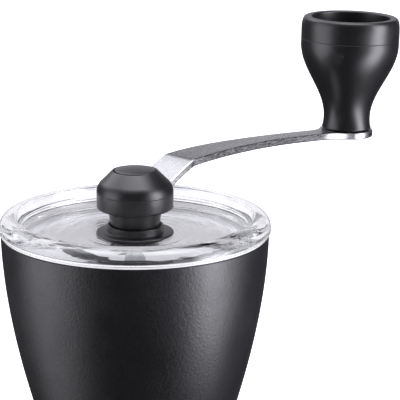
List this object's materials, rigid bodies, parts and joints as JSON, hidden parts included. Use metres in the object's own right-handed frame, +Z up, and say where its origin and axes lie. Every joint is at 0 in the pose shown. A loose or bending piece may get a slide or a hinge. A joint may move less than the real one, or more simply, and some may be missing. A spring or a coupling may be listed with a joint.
{
  "type": "hand crank coffee grinder",
  "caption": "Hand crank coffee grinder: black tapered hopper, clear lid, steel crank with tulip knob, conical ceramic burrs, screw-on glass jar.",
  "frame": {"origin": "centre of the foot's bottom face", "axes": "+Z up along the drive shaft, +X from the shaft to the knob at rest"},
  "size_m": [0.1774, 0.092, 0.2198],
  "materials": {
    "jar_glass": "clear pressed glass",
    "foot_silicone": "matte silicone",
    "seal_silicone": "natural silicone",
    "shell_black": "fine-grained soft-touch black",
    "bowl_white": "frosted natural plastic",
    "bridge_black": "moulded black",
    "bush_nylon": "natural nylon",
    "spring_steel": "drawn wire",
    "burr_ceramic": "sintered white ceramic",
    "holder_black": "moulded black",
    "nut_black": "moulded black with ribs",
    "screw_steel": "bright turned steel",
    "shaft_steel": "turned steel",
    "lid_clear": "clear polished acrylic",
    "hub_black": "satin black",
    "disc_black": "satin black disc",
    "arm_steel": "stainless, brushed along the bar",
    "knob_black": "satin black"
  },
  "bodies": {
    "jar": {"jar": "jar_glass", "jar_foot": "foot_silicone"},
    "seal": {"jar_gasket": "seal_silicone"},
    "hopper": {"hopper_shell": "shell_black", "bean_bowl": "bowl_white", "top_bridge": "bridge_black", "top_bush": "bush_nylon", "burr_bridge": "bridge_black", "burr_bush": "bush_nylon", "spring_washer": "spring_steel", "outer_burr": "burr_ceramic", "burr_holder": "holder_black", "holder_screws": "screw_steel"},
    "shaft": {"drive_shaft": "shaft_steel", "shaft_clip": "spring_steel"},
    "burr": {"inner_burr": "burr_ceramic", "burr_spring": "spring_steel", "click_plate": "holder_black"},
    "nut": {"adjust_nut": "nut_black"},
    "lid": {"lid": "lid_clear"},
    "bush": {"lid_bush": "hub_black", "bush_ring": "hub_black"},
    "crank": {"crank_hub": "hub_black", "hub_screw": "screw_steel", "crank_arm": "arm_steel", "hub_cap": "hub_black", "cap_disc": "disc_black", "knob_pin": "screw_steel", "knob_washer": "bush_nylon"},
    "knob": {"knob": "knob_black", "knob_sleeve": "knob_black"}
  },
  "joints": [
    {"name": "jar_lift", "type": "slide", "parent": "jar", "child": "seal", "axis": [0, 0, 1], "range_m": [0, 0.00444]},
    {"name": "jar_unscrew", "type": "hinge", "parent": "seal", "child": "hopper", "pos_m": [0, 0, 0.059], "axis": [0, 0, 1], "range_deg": [0, 400]},
    {"name": "lid_lift", "type": "slide", "parent": "hopper", "child": "lid", "axis": [0, 0, 1], "range_m": [0, 0.025]},
    {"name": "crank_turn", "type": "hinge", "parent": "lid", "child": "bush", "pos_m": [0, 0, 0.16], "axis": [0, 0, 1], "continuous": true},
    {"name": "crank_lift", "type": "slide", "parent": "bush", "child": "crank", "axis": [0, 0, 1], "range_m": [0, 0.014]},
    {"name": "knob_spin", "type": "hinge", "parent": "crank", "child": "knob", "pos_m": [0.112, 0, 0.1772], "axis": [0.0314, 0, 0.9995], "continuous": true},
    {"name": "shaft_spin", "type": "hinge", "parent": "hopper", "child": "shaft", "pos_m": [0, 0, 0.12], "axis": [0, 0, 1], "continuous": true},
    {"name": "burr_height", "type": "slide", "parent": "shaft", "child": "burr", "axis": [0, 0, -1], "range_m": [0, 0.00099], "deforming": ["burr_spring"]},
    {"name": "grind_adjust", "type": "hinge", "parent": "burr", "child": "nut", "pos_m": [0, 0, 0.057], "axis": [0, 0, -1], "range_deg": [0, 360]}
  ],
  "couplings": [
    {"joint": "jar_unscrew", "follows": "jar_lift", "rad_per_m": 1570.8},
    {"joint": "shaft_spin", "follows": "crank_turn", "ratio": 1},
    {"joint": "grind_adjust", "follows": "burr_height", "rad_per_m": 6283.2}
  ]
}
